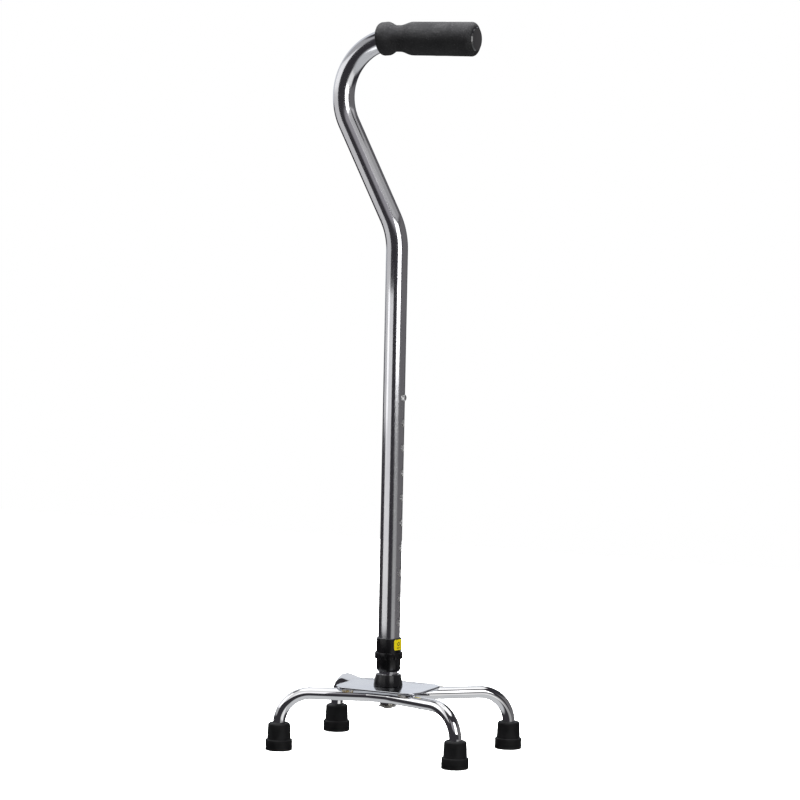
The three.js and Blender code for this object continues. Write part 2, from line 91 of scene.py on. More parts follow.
# The height holes
HOLE_COUNT = 10
HOLE_PITCH = 25.4 * MM
HOLE_RADIUS = 3.4 * MM
BUTTON_Z = middle("snap_button").z

# The leg tubes' paths
LEG_RADIUS = 6.35 * MM
LEG_WALL = 1.5 * MM
LEG_BEND_RADIUS = 32 * MM
LEG_PLAN_RADIUS = 30 * MM
LEG_Z = high("front_leg_tube").z - LEG_RADIUS
LEG_TURNS = {"front": Vector((12 * MM, -18 * MM)), "rear": Vector((27 * MM, 20.5 * MM))}
CORNERS = [(row, column) for row in ("front", "rear") for column in ("left", "right")]


# ---- Shader helpers ----


def set_input(tree, node, key, value):
    """Gives a node's input a value, or a link if the value is another node's socket."""
    if isinstance(value, bpy.types.NodeSocket):
        tree.links.new(value, node.inputs[key])
    else:
        node.inputs[key].default_value = value


def add_node(tree, kind, inputs=None, **settings):
    node = tree.nodes.new(kind)
    for key, value in settings.items():
        setattr(node, key, value)
    for key, value in (inputs or {}).items():
        set_input(tree, node, key, value)
    return node


def math_node(tree, operation, first, second=0.0):
    return add_node(tree, "ShaderNodeMath", {0: first, 1: second}, operation=operation).outputs[0]


def remap(tree, value, from_low, from_high, to_low, to_high):
    ends = {"From Min": from_low, "From Max": from_high, "To Min": to_low, "To Max": to_high}
    inputs = {"Value": value, **ends}
    return add_node(tree, "ShaderNodeMapRange", inputs, interpolation_type="SMOOTHSTEP").outputs[0]


def mix_colour(tree, factor, first, second):
    """A Mix node's factor is its input 0. Its two colours are 6 and 7, and the result is output 2."""
    inputs = {0: factor, 6: first, 7: second}
    return add_node(tree, "ShaderNodeMix", inputs, data_type="RGBA").outputs[2]


class Finish:
    """A Principled material with object coordinates at hand."""

    def __init__(self, name, colour, roughness, metallic=0.0, specular=0.5, coat=0.0):
        self.material = bpy.data.materials.new(name)
        self.material.use_nodes = True
        self.tree = self.material.node_tree
        self.shader = self.tree.nodes["Principled BSDF"]
        self.set("Base Color", colour)
        self.set("Roughness", roughness)
        self.set("Metallic", metallic)
        self.set("Specular IOR Level", specular)
        self.set("Coat Weight", coat)
        self.material.diffuse_color = colour
        self.coordinates = add_node(self.tree, "ShaderNodeTexCoord").outputs["Object"]

    def set(self, key, value):
        set_input(self.tree, self.shader, key, value)

    def noise(self, scale, detail, stretch=(1, 1, 1), coordinates=None):
        inputs = {"Vector": coordinates or self.coordinates, "Scale": stretch}
        mapping = add_node(self.tree, "ShaderNodeMapping", inputs)
        inputs = {"Vector": mapping.outputs[0], "Scale": scale, "Detail": detail}
        return add_node(self.tree, "ShaderNodeTexNoise", inputs).outputs["Fac"]

    def remap(self, value, from_low, from_high, to_low=0.0, to_high=1.0):
        return remap(self.tree, value, from_low, from_high, to_low, to_high)

    def blend(self, factor, first, second):
        return mix_colour(self.tree, factor, first, second)

    def mottle(self, texture, from_low, from_high, first, second):
        """Sets a base colour that goes from the first to the second as the texture rises."""
        tone = self.blend(self.remap(texture, from_low, from_high), first, second)
        self.set("Base Color", tone)
        return tone

    def roughen(self, texture, from_low, from_high, smooth, rough):
        self.set("Roughness", self.remap(texture, from_low, from_high, smooth, rough))

    def bump(self, height, distance, strength, under=None):
        inputs = {"Height": height, "Distance": distance, "Strength": strength}
        if under is not None:
            inputs["Normal"] = under
        normal = add_node(self.tree, "ShaderNodeBump", inputs).outputs[0]
        self.set("Normal", normal)
        return normal


# ---- Materials ----


def bright_aluminium():
    """Polished tube with the faint lengthwise lines that drawing and polishing leave."""
    finish = Finish("bright_aluminium", (0.80, 0.80, 0.82, 1), 0.16, metallic=1.0)
    along = add_node(finish.tree, "ShaderNodeUVMap", uv_map="along_tube").outputs[0]
    lines = finish.noise(1, 3, stretch=(420, 9, 1), coordinates=along)
    finish.mottle(finish.noise(26, 3), 0.3, 0.7, (0.77, 0.77, 0.80, 1), (0.84, 0.84, 0.86, 1))
    rough = finish.remap(lines, 0.3, 0.7, 0.11, 0.17)
    worn = finish.remap(finish.noise(900, 1), 0.66, 0.74, 0, 0.12)
    finish.set("Roughness", math_node(finish.tree, "ADD", rough, worn))
    finish.bump(lines, 0.02 * MM, 0.25)
    return finish.material


def cut_edge():
    """Bright bare metal where a hole was drilled and its edge was broken, with turned marks."""
    finish = Finish("cut_edge", (0.95, 0.95, 0.95, 1), 0.25, metallic=1.0)
    marks = finish.noise(1500, 3)
    finish.mottle(marks, 0.3, 0.7, (0.97, 0.97, 0.96, 1), (0.88, 0.87, 0.85, 1))
    finish.roughen(marks, 0.3, 0.7, 0.18, 0.32)
    finish.bump(marks, 0.02 * MM, 0.3)
    return finish.material


def chrome(name, light, dark, smooth, dull):
    """Plating with faint smears over the ripple of polished steel. The plate's is the duller one."""
    finish = Finish(name, light, smooth, metallic=1.0)
    smears = finish.noise(34, 4)
    finish.mottle(smears, 0.35, 0.7, light, dark)
    finish.roughen(smears, 0.35, 0.75, smooth, dull)
    grain = finish.bump(finish.noise(800, 2), 0.01 * MM, 0.2)
    finish.bump(finish.noise(70, 2), 0.05 * MM, 0.4, under=grain)
    return finish.material


def foam():
    """Fine charcoal foam, speckled with small open cells whose hollows are darkened with painted shade,
    and dusty on its high spots.
    """
    finish = Finish("grip_foam", (0.03, 0.03, 0.032, 1), 0.9, specular=0.2)
    cells = {"Vector": finish.coordinates, "Scale": 1500}
    pores = add_node(finish.tree, "ShaderNodeTexVoronoi", cells).outputs["Distance"]
    grain = finish.noise(620, 4)
    patches = finish.remap(finish.noise(75, 3), 0.35, 0.7)
    dusty = finish.blend(patches, (0.022, 0.022, 0.023, 1), (0.032, 0.032, 0.033, 1))
    # Painted shade: each pore is darkest at the bottom of its dip, where the bump sinks.
    tone = finish.blend(finish.remap(pores, 0.05, 0.6), (0.009, 0.009, 0.010, 1), dusty)
    lifted = finish.remap(grain, 0.56, 0.74, 0, 0.5)
    finish.set("Base Color", finish.blend(lifted, tone, (0.075, 0.075, 0.078, 1)))
    finish.roughen(grain, 0.3, 0.7, 0.82, 0.97)
    skin = finish.bump(grain, 0.14 * MM, 0.7)
    finish.bump(pores, 0.12 * MM, 0.6, under=skin)
    return finish.material


def moulded_plastic():
    """Black moulded plastic with a satin skin, rubbed smoother in patches."""
    finish = Finish("black_plastic", (0.006, 0.006, 0.007, 1), 0.26, specular=0.4)
    rubbed = finish.noise(60, 3)
    finish.mottle(rubbed, 0.4, 0.75, (0.005, 0.005, 0.0055, 1), (0.010, 0.010, 0.011, 1))
    finish.roughen(rubbed, 0.3, 0.7, 0.15, 0.25)
    finish.bump(finish.noise(850, 3), 0.03 * MM, 0.3)
    return finish.material


def glossy_plastic():
    """The end plug's smooth black plastic, with a few rub marks."""
    finish = Finish("glossy_black", (0.005, 0.005, 0.006, 1), 0.1, specular=0.8, coat=1.0)
    finish.set("Coat Roughness", 0.06)
    rubbed = finish.noise(240, 4)
    finish.mottle(rubbed, 0.4, 0.75, (0.004, 0.004, 0.005, 1), (0.009, 0.009, 0.010, 1))
    finish.roughen(rubbed, 0.4, 0.75, 0.07, 0.2)
    finish.bump(rubbed, 0.01 * MM, 0.2)
    return finish.material


def black_rubber():
    """Moulded rubber, dusty grey where it rubs along the floor."""
    finish = Finish("black_rubber", (0.006, 0.006, 0.007, 1), 0.6, specular=0.25)
    smudge = finish.noise(120, 4)
    height = add_node(finish.tree, "ShaderNodeSeparateXYZ", {0: finish.coordinates}).outputs["Z"]
    near_floor = finish.remap(height, 0.0, 3.5 * MM, 0.5, 0.0)
    uneven = finish.remap(smudge, 0.3, 0.6, 0.25, 1.0)
    dust = math_node(finish.tree, "MULTIPLY", near_floor, uneven)
    tone = finish.mottle(smudge, 0.35, 0.7, (0.004, 0.004, 0.0045, 1), (0.009, 0.009, 0.0095, 1))
    finish.set("Base Color", finish.blend(dust, tone, (0.045, 0.044, 0.042, 1)))
    finish.roughen(smudge, 0.3, 0.7, 0.45, 0.68)
    finish.bump(finish.noise(1100, 3), 0.05 * MM, 0.5)
    return finish.material


def yellow_vinyl():
    """The sticker: saturated yellow with a thin clear film and slightly uneven ink."""
    finish = Finish("yellow_vinyl", (0.97, 0.80, 0.004, 1), 0.35, specular=0.3, coat=0.3)
    finish.set("Coat Roughness", 0.15)
    ink = finish.noise(420, 3)
    finish.mottle(ink, 0.35, 0.7, (0.98, 0.81, 0.004, 1), (0.92, 0.73, 0.003, 1))
    finish.roughen(ink, 0.3, 0.7, 0.3, 0.42)
    finish.bump(ink, 0.01 * MM, 0.3)
    return finish.material


def label_ink():
    """Printed dark ink, worn thin in places."""
    finish = Finish("label_ink", (0.03, 0.028, 0.02, 1), 0.45)
    worn = finish.noise(900, 2)
    finish.mottle(worn, 0.5, 0.75, (0.025, 0.022, 0.015, 1), (0.16, 0.13, 0.02, 1))
    return finish.material


def plated_steel(name, bright, dull, roughness):
    """Zinc or spring steel: blotchy plating with a fine turned grain."""
    finish = Finish(name, bright, roughness, metallic=1.0)
    blotches = finish.noise(260, 4)
    finish.mottle(blotches, 0.35, 0.7, bright, dull)
    finish.roughen(blotches, 0.3, 0.7, 0.8 * roughness, 1.4 * roughness)
    finish.bump(finish.noise(1400, 2, stretch=(1, 1, 6)), 0.02 * MM, 0.35)
    return finish.material


def weld_steel():
    """Weld metal under the plating, with straw and brown heat tints."""
    finish = Finish("weld_steel", (0.7, 0.66, 0.6, 1), 0.25, metallic=1.0)
    tint = finish.noise(230, 3)
    ripple = finish.noise(900, 3)
    straw = finish.mottle(tint, 0.35, 0.6, (0.84, 0.82, 0.80, 1), (0.58, 0.43, 0.19, 1))
    scorched = finish.remap(tint, 0.6, 0.75)
    finish.set("Base Color", finish.blend(scorched, straw, (0.16, 0.10, 0.07, 1)))
    finish.roughen(ripple, 0.3, 0.7, 0.14, 0.36)
    finish.bump(ripple, 0.08 * MM, 0.6)
    return finish.material


def grey_plastic():
    """The guide bushing's plain grey nylon."""
    finish = Finish("grey_plastic", (0.35, 0.36, 0.37, 1), 0.45)
    skin = finish.noise(500, 3)
    finish.mottle(skin, 0.3, 0.7, (0.31, 0.31, 0.31, 1), (0.38, 0.39, 0.40, 1))
    finish.bump(skin, 0.03 * MM, 0.4)
    return finish.material


ALUMINIUM = bright_aluminium()
CUT_EDGE = cut_edge()
CHROME = chrome("chrome", (0.92, 0.92, 0.93, 1), (0.87, 0.87, 0.89, 1), 0.015, 0.045)
PLATE = chrome("plate_chrome", (0.86, 0.88, 0.92, 1), (0.81, 0.83, 0.88, 1), 0.11, 0.19)
FOAM = foam()
PLASTIC = moulded_plastic()
GLOSS = glossy_plastic()
RUBBER = black_rubber()
VINYL = yellow_vinyl()
INK = label_ink()
WELD = weld_steel()
GREY = grey_plastic()
ZINC = plated_steel("zinc_steel", (0.80, 0.79, 0.76, 1), (0.66, 0.63, 0.56, 1), 0.16)
BLACK_STEEL = plated_steel("black_steel", (0.03, 0.029, 0.028, 1), (0.06, 0.055, 0.05, 1), 0.3)
SPRING = plated_steel("spring_steel", (0.95, 0.95, 0.95, 1), (0.84, 0.84, 0.85, 1), 0.22)


# ---- Mesh helpers ----


def make_piece(name, vertices, faces, material, uvs=None, cut_faces=()):
    """A smooth-shaded mesh object. uvs gives one pair for each corner, in face order."""
    mesh = bpy.data.meshes.new(name)
    mesh.from_pydata(vertices, [], faces)
    if uvs is not None:
        layer = mesh.uv_layers.new(name="along_tube")
        for corner, pair in zip(layer.data, uvs):
            corner.uv = pair
    mesh.materials.append(material)
    if cut_faces:
        mesh.materials.append(CUT_EDGE)
        for i in cut_faces:
            mesh.polygons[i].material_index = 1
    mesh.validate()
    mesh.shade_smooth()
    mesh.set_sharp_from_angle(angle=SHARP)
    piece = bpy.data.objects.new(name, mesh)
    bpy.context.scene.collection.objects.link(piece)
    return piece


def settle(piece, body, slot, *nodes):
    """The piece rides on its body and stands for its CAD nodes. Its slot argument is not used."""
    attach(piece, body)
    if nodes:
        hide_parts(*nodes)


def cut(piece, cutter):
    """Cuts another mesh, which is used up, out of the piece and keeps the smooth shading."""
    modifier = piece.modifiers.new("cut", "BOOLEAN")
    modifier.operation = "DIFFERENCE"
    modifier.solver = "EXACT"
    modifier.object = cutter
    graph = bpy.context.evaluated_depsgraph_get()
    result = bpy.data.meshes.new_from_object(piece.evaluated_get(graph))
    piece.modifiers.clear()
    spent = (piece.data, cutter.data)
    piece.data = result
    bpy.data.objects.remove(cutter)
    for mesh in spent:
        bpy.data.meshes.remove(mesh)
    piece.data.set_sharp_from_angle(angle=SHARP)


FILLET_STEPS = 5


def fillet(corners, closed=False):
    """An outline from (radius, height, corner radius) points, with each corner rounded to its radius."""
    outline = []
    for i, (radius, height, rounding) in enumerate(corners):
        point = Vector((radius, height))
        if rounding == 0 or (not closed and i in (0, len(corners) - 1)):
            outline.append(point)
            continue
        before = (Vector(corners[i - 1][:2]) - point).normalized()
        after = (Vector(corners[(i + 1) % len(corners)][:2]) - point).normalized()
        half_opening = before.angle(after) / 2
        back = rounding / math.tan(half_opening)
        centre = point + (before + after).normalized() * (rounding / math.sin(half_opening))
        first = point + before * back - centre
        last = point + after * back - centre
        turn = first.angle(last)
        for step in range(FILLET_STEPS + 1):
            share = step / FILLET_STEPS
            near = math.sin((1 - share) * turn) / math.sin(turn)
            far = math.sin(share * turn) / math.sin(turn)
            outline.append(centre + first * near + last * far)
    return outline


def polar(radius, angle, height):
    return Vector((radius * math.cos(angle), radius * math.sin(angle), height))


def round_angles(count):
    return [2 * math.pi * i / count for i in range(count)]


def bands(rings, closed=False):
    """Faces that join each ring of vertex numbers to the next. A ring may be one vertex, repeated."""
    pairs = list(zip(rings, rings[1:]))
    if closed:
        pairs.append((rings[-1], rings[0]))
    faces = []
    for lower, upper in pairs:
        for i in range(len(lower)):
            j = (i + 1) % len(lower)
            corners = [lower[i], lower[j], upper[j], upper[i]]
            face = [v for k, v in enumerate(corners) if v != corners[k - 1]]
            if len(face) > 2:
                faces.append(face)
    return faces


def stitch(rings, closed=False):
    """Vertices and faces of a skin over rings of points, which all have the same number of points."""
    vertices = [v for ring in rings for v in ring]
    count = len(rings[0])
    numbers = [range(start, start + count) for start in range(0, len(vertices), count)]
    return vertices, bands(numbers, closed)


def stitch_capped(rings):
    """The same with a flat face on each end."""
    vertices, faces = stitch(rings)
    numbers = range(len(vertices))
    count = len(rings[0])
    return vertices, [list(reversed(numbers[:count])), list(numbers[-count:])] + faces


def revolve(outline, segments, closed=False):
    """Vertices and faces of an outline of (radius, height) turned about +Z."""
    on_axis = 1e-7
    vertices = []
    rings = []
    for radius, height in outline:
        start = len(vertices)
        if radius < on_axis:
            vertices.append(Vector((0, 0, height)))
            rings.append([start] * segments)
            continue
        vertices.extend(polar(radius, angle, height) for angle in round_angles(segments))
        rings.append(range(start, start + segments))
    return vertices, bands(rings, closed)


def turned(name, corners, material, closed=False, segments=96, place=SHAFT):
    """A turned piece that stands at place, from corners of (radius, height, corner radius)."""
    vertices, faces = revolve(fillet(corners, closed), segments, closed)
    return make_piece(name, [v + place for v in vertices], faces, material)


def along_x(vertices, height):
    """Turns a shape about +Z into one about +X at that height on the shaft's axis."""
    return [from_shaft(v.z, v.y, height - v.x) for v in vertices]


def turned_along_x(name, corners, height, segments, material):
    vertices, faces = revolve(fillet(corners), segments)
    return make_piece(name, along_x(vertices, height), faces, material)


def bent_path(corners, radii):
    """(point, direction) stations along straight runs with rounded corners."""
    step = math.radians(3)
    stations = [(corners[0], (corners[1] - corners[0]).normalized())]
    for i, radius in enumerate(radii, 1):
        incoming = (corners[i] - corners[i - 1]).normalized()
        outgoing = (corners[i + 1] - corners[i]).normalized()
        turn = incoming.angle(outgoing)
        axis = incoming.cross(outgoing).normalized()
        start = corners[i] - incoming * radius * math.tan(turn / 2)
        centre = start + axis.cross(incoming) * radius
        count = max(4, math.ceil(turn / step))
        for k in range(count + 1):
            spin = Quaternion(axis, turn * k / count)
            stations.append((centre + spin @ (start - centre), spin @ incoming))
    stations.append((corners[-1], (corners[-1] - corners[-2]).normalized()))
    return stations


def with_frames(stations):
    """Adds to each station a side vector, which starts along +X and turns no more than the path does."""
    side = Vector((1, 0, 0))
    framed = []
    previous = stations[0][1]
    for point, direction in stations:
        side = previous.rotation_difference(direction) @ side
        side = (side - direction * side.dot(direction)).normalized()
        framed.append((point, direction, side))
        previous = direction
    return framed


def ring_points(station, radius, sides):
    point, direction, side = station
    other = direction.cross(side)
    return [point + radius * (math.cos(a) * side + math.sin(a) * other) for a in round_angles(sides)]


# Each hole is in a square patch of a tube's skin that reaches this many rows and columns each way.
HALF_PATCH = 5
HOLE_EDGE = 0.9 * MM


def tube(name, stations, radius, wall, material, sides=TUBE_SIDES, holes=()):
    """A hollow tube along framed stations. Each hole is (first row, last row, height of its centre),
    drilled along the side vector."""
    vertices = []
    faces = []
    uvs = []
    cut_faces = []
    lengths = [0.0]
    for here, there in zip(stations, stations[1:]):
        lengths.append(lengths[-1] + (there[0] - here[0]).length)
    for skin_radius in (radius, radius - wall):
        for station in stations:
            vertices.extend(ring_points(station, skin_radius, sides))

    def index(skin, row, column):
        return (skin * len(stations) + row) * sides + column % sides

    def add_face(corners, pairs, is_cut=False):
        if is_cut:
            cut_faces.append(len(faces))
        faces.append(corners)
        uvs.extend(pairs)

    def holed(row, column):
        near = column < HALF_PATCH or column >= sides - HALF_PATCH
        return near and any(first <= row < last for first, last, _ in holes)

    for skin in (0, 1):
        for row in range(len(stations) - 1):
            for column in range(sides):
                if holed(row, column):
                    continue
                quad = [(row, column), (row, column + 1), (row + 1, column + 1), (row + 1, column)]
                if skin == 1:
                    quad.reverse()
                pairs = [(c / sides, lengths[r]) for r, c in quad]
                add_face([index(skin, r, c) for r, c in quad], pairs)
    for row in (0, len(stations) - 1):
        for column in range(sides):
            rim = [(0, column), (0, column + 1), (1, column + 1), (1, column)]
            quad = [index(skin, row, c) for skin, c in rim]
            if row == 0:
                quad.reverse()
            add_face(quad, [(column / sides, lengths[row])] * 4)
    for first, last, height in holes:
        drill_patch(vertices, add_face, index, stations, (radius, wall, sides), (first, last, height))
    return make_piece(name, vertices, faces, material, uvs, cut_faces)


def drill_patch(vertices, add_face, index, stations, tube_size, hole):
    """Fills the square patch left in both skins with rings that close in on the hole, and walls it."""
    radius, wall, sides = tube_size
    first, last, height = hole
    origin = stations[first][0]
    side = stations[first][2]
    across = stations[first][1].cross(side)
    # (row, column) steps round the patch from its bottom right corner, anticlockwise from outside
    border = [(first, c) for c in range(-HALF_PATCH, HALF_PATCH)]
    border += [(r, HALF_PATCH) for r in range(first, last)]
    border += [(last, c) for c in range(HALF_PATCH, -HALF_PATCH, -1)]
    border += [(r, -HALF_PATCH) for r in range(last, first, -1)]
    count = len(border)

    def on_skin(skin_radius, y, z):
        """The point of the skin at y across the drill's axis and z above its centre."""
        depth = math.sqrt(skin_radius**2 - y**2)
        return Vector((origin.x, origin.y, height)) + side * depth + across * y + Vector((0, 0, z))

    def border_point(skin_radius, row, column):
        return skin_radius * math.sin(2 * math.pi * column / sides), stations[row][0].z - height

    def ring(skin_radius, share, rim):
        """A ring that share of the way from the patch's border to the circle of that radius."""
        start = len(vertices)
        for place in border:
            outer_y, outer_z = border_point(radius, *place)
            angle = math.atan2(outer_z, outer_y)
            edge_y, edge_z = border_point(skin_radius, *place)
            y = edge_y + (rim * math.cos(angle) - edge_y) * share
            z = edge_z + (rim * math.sin(angle) - edge_z) * share
            vertices.append(on_skin(skin_radius, y, z))
        return list(range(start, start + count))

    round_over = 0.3 * HOLE_EDGE
    loops = [[index(0, r, c) for r, c in border]]
    loops += [ring(radius, share, HOLE_RADIUS + HOLE_EDGE) for share in (0.35, 0.7, 1)]
    loops.append(ring(radius - round_over, 1, HOLE_RADIUS + round_over))
    loops.append(ring(radius - HOLE_EDGE, 1, HOLE_RADIUS))
    loops.append(ring(radius - wall, 1, HOLE_RADIUS))
    loops.append(ring(radius - wall, 0.5, HOLE_RADIUS))
    loops.append([index(1, r, c) for r, c in border])
    bare_bands = (3, 4, 5)
    length = stations[first][0].z
    for band, (outside, inside) in enumerate(zip(loops, loops[1:])):
        for i in range(count):
            j = (i + 1) % count
            corners = [outside[i], outside[j], inside[j], inside[i]]
            pair = ((border[i][1] % sides) / sides, length)
            add_face(corners, [pair] * 4, band in bare_bands)


# ---- The handle ----


def handle_path(end_x):
    corners = [
        from_shaft(z=low("handle_tube").z),
        from_shaft(z=KNEE_Z),
        from_shaft(-SLANT_RUN, 0, GRIP_Z),
        from_shaft(end_x, 0, GRIP_Z),
    ]
    return bent_path(corners, [KNEE_RADIUS, NECK_RADIUS])


def drilled_stations(stations, hole_heights, radius):
    """Adds rows for the hole patches to a path's first straight run, and says where they are."""
    half = radius * math.sin(2 * math.pi * HALF_PATCH / TUBE_SIDES)
    direction = stations[0][1]
    rows = [stations[0]]
    holes = []
    for height in hole_heights:
        first = len(rows)
        for k in range(2 * HALF_PATCH + 1):
            z = height - half + half * k / HALF_PATCH
            rows.append((from_shaft(z=z), direction))
        holes.append((first, first + 2 * HALF_PATCH, height))
    return rows + stations[1:], holes


def drilled_tube(name, path, radius, hole_heights):
    """A tube of the shaft, with its holes on the +X side."""
    rows, holes = drilled_stations(path, hole_heights, radius)
    return tube(name, with_frames(rows), radius, TUBE_WALL, ALUMINIUM, holes=holes)


def make_handle_tube():
    path = handle_path(high("handle_tube").x - SHAFT.x)
    holes = [BUTTON_Z - HOLE_PITCH * k for k in reversed(range(HOLE_COUNT))]
    piece = drilled_tube("handle_tube_shell", path, TUBE_RADIUS, holes)
    settle(piece, "handle", "bright_aluminium", "handle_tube")


def make_lower_tube():
    path = [(from_shaft(z=z), Vector((0, 0, 1))) for z in levels("lower_tube")]
    piece = drilled_tube("lower_tube_shell", path, span("lower_tube").x / 2, [BUTTON_Z])
    settle(piece, "base", "bright_aluminium", "lower_tube")


FLARE_RADIUS = 17 * MM
GRIP_NECK_RADIUS = 13.5 * MM
# The share of the tube's bend that the flare leans with
FLARE_LEAN = 0.35


def waist(first, last, radii, steps=16):
    """(radius, distance) points that ease from one radius to the other."""
    points = []
    for k in range(steps):
        blend = (1 - math.cos(math.pi * k / steps)) / 2
        points.append((radii[0] + (radii[1] - radii[0]) * blend, first + (last - first) * k / steps))
    return points


def rounded_shoulder(base, centre, corner, angles, steps=16):
    """(radius, distance) points round a quarter turn whose centre is at that radius and distance."""
    turns = [angles[0] + (angles[1] - angles[0]) * k / steps for k in range(steps + 1)]
    return [(base + corner * math.cos(a), centre + corner * math.sin(a)) for a in turns]


def grip_outline():
    """(radius, distance along the grip): a rounded flare, a neck and a long body, as the CAD solid."""
    start, end = low("grip_foam").x - SHAFT.x, high("grip_foam").x - SHAFT.x
    body_radius = span("grip_foam").y / 2
    flare_corner, end_corner = 5 * MM, 4.5 * MM
    flare_end, neck_start, neck_end, body_start = -14 * MM, -5 * MM, -1 * MM, 14 * MM
    quarter = math.pi / 2
    flare_base = FLARE_RADIUS - flare_corner
    end_base = body_radius - end_corner
    face_rows, neck_rows, body_rows = 6, 4, 70
    outline = [(flare_base * k / face_rows, start) for k in range(face_rows)]
    outline += rounded_shoulder(flare_base, start + flare_corner, flare_corner, (-quarter, 0))
    outline += waist(flare_end, neck_start, (FLARE_RADIUS, GRIP_NECK_RADIUS))
    for k in range(neck_rows):
        outline.append((GRIP_NECK_RADIUS, neck_start + (neck_end - neck_start) * k / neck_rows))
    outline += waist(neck_end, body_start, (GRIP_NECK_RADIUS, FLARE_RADIUS))
    for k in range(body_rows):
        share = k / body_rows
        radius = FLARE_RADIUS + (body_radius - FLARE_RADIUS) * share
        outline.append((radius, body_start + (end - end_corner - body_start) * share))
    outline += rounded_shoulder(end_base, end - end_corner, end_corner, (0, quarter))
    outline += [(end_base * (1 - k / face_rows), end) for k in range(1, face_rows + 1)]
    return outline


def lean_with_neck(vertex):
    """Bends a point of the straight grip so that its flare leans a little with the tube's neck."""
    bend_x = SHAFT.x - SLANT_RUN + NECK_RADIUS * math.tan((math.pi / 2 + SLANT) / 2)
    if vertex.x > bend_x:
        return vertex
    lean_radius = NECK_RADIUS / FLARE_LEAN
    angle = (bend_x - vertex.x) / lean_radius
    reach = lean_radius + vertex.z - GRIP_Z
    x = bend_x - reach * math.sin(angle)
    return Vector((x, vertex.y, GRIP_Z - lean_radius + reach * math.cos(angle)))


def make_bore():
    """What the grip's bore takes away: the handle tube with a hair of clearance, run on past the end."""
    clearance, past_end = 0.05 * MM, 10 * MM
    stations = with_frames(handle_path(high("grip_foam").x - SHAFT.x + past_end))
    rings = [ring_points(station, TUBE_RADIUS + clearance, TUBE_SIDES) for station in stations]
    return make_piece("grip_bore", *stitch_capped(rings), FOAM)


def make_grip():
    """The foam is softly uneven, as a dipped and ground sleeve is."""
    vertices, faces = revolve(grip_outline(), 120)
    axis_point = from_shaft(z=GRIP_Z)
    uneven, coarse, fine = 0.14 * MM, 110, 320
    shaped = []
    for vertex in along_x(vertices, GRIP_Z):
        outward = Vector((0, vertex.y - axis_point.y, vertex.z - axis_point.z))
        if outward.length > GRIP_NECK_RADIUS * 0.9:
            wave = noise.noise(vertex * coarse) + 0.5 * noise.noise(vertex * fine)
            vertex += outward.normalized() * uneven * (wave - 0.9)
        shaped.append(lean_with_neck(vertex))
    piece = make_piece("grip_sleeve", shaped, faces, FOAM)
    cut(piece, make_bore())
    settle(piece, "handle", "grip_foam", "grip_foam")


def make_grip_plug():
    """A glossy disc with a bevelled rim and a faint dome, on a spigot inside the tube."""
    start, end = low("grip_end_plug").x - SHAFT.x, high("grip_end_plug").x - SHAFT.x
    rim = span("grip_end_plug").y / 2
    disc_back = high("grip_foam").x - SHAFT.x + CLEARANCE
    spigot = TUBE_RADIUS - TUBE_WALL - CLEARANCE
    bevel_length, bevel_depth, dome = 2.1 * MM, 1.2 * MM, 0.1 * MM
    corners = [
        (0, start, 0),
        (spigot, start, 0.8 * MM),
        (spigot, disc_back, 0.1 * MM),
        (rim, disc_back, 0.15 * MM),
        (rim, end - bevel_length, 0.2 * MM),
        (rim - bevel_depth, end - dome, 0.3 * MM),
        (0, end, 0),
    ]
    piece = turned_along_x("grip_plug_disc", corners, GRIP_Z, 96, GLOSS)
    settle(piece, "handle", "glossy_black", "grip_end_plug")


# ---- Sleeve, collar and label ----

SLEEVE_RADIUS = span("collet_sleeve").x / 2
SLEEVE_STEP_Z = high("lock_collar").z + CLEARANCE
COLLET_RADIUS = 11 * MM
COLLET_BORE = 9.85 * MM


def slot_cutter(width, height, middle_z, turn):
    """A plain block across the collet, turned about the shaft, that a boolean uses up."""
    x, y = width / 2, 2 * COLLET_RADIUS
    spin = Matrix.Rotation(turn, 3, "Z")
    outline = [spin @ Vector(corner) for corner in ((-x, -y, 0), (x, -y, 0), (x, y, 0), (-x, y, 0))]
    ends = (middle_z - height / 2, middle_z + height / 2)
    rings = [[from_shaft(z=z) + corner for corner in outline] for z in ends]
    return make_piece("cutter", *stitch_capped(rings), PLASTIC)


def make_collet_sleeve():
    """A cup round the handle tube's end, and below it the thin collet with four slots."""
    bottom, top = levels("collet_sleeve")
    cup = TUBE_RADIUS + CLEARANCE
    seat = low("handle_tube").z - CLEARANCE
    slot_width, slot_depth = 1.5 * MM, 10 * MM
    corners = [
        (COLLET_BORE, bottom, 0.2 * MM),
        (COLLET_RADIUS, bottom, 0.4 * MM),
        (COLLET_RADIUS, SLEEVE_STEP_Z, 0.2 * MM),
        (SLEEVE_RADIUS, SLEEVE_STEP_Z, 0.4 * MM),
        (SLEEVE_RADIUS, top, 0.6 * MM),
        (cup, top, 0.3 * MM),
        (cup, seat, 0.1 * MM),
        (COLLET_BORE, seat, 0.1 * MM),
    ]
    piece = turned("collar_sleeve", corners, PLASTIC, closed=True)
    for turn in (0, math.pi / 2):
        cut(piece, slot_cutter(slot_width, 2 * slot_depth, bottom, turn))
    settle(piece, "handle", "black_plastic", "collet_sleeve")


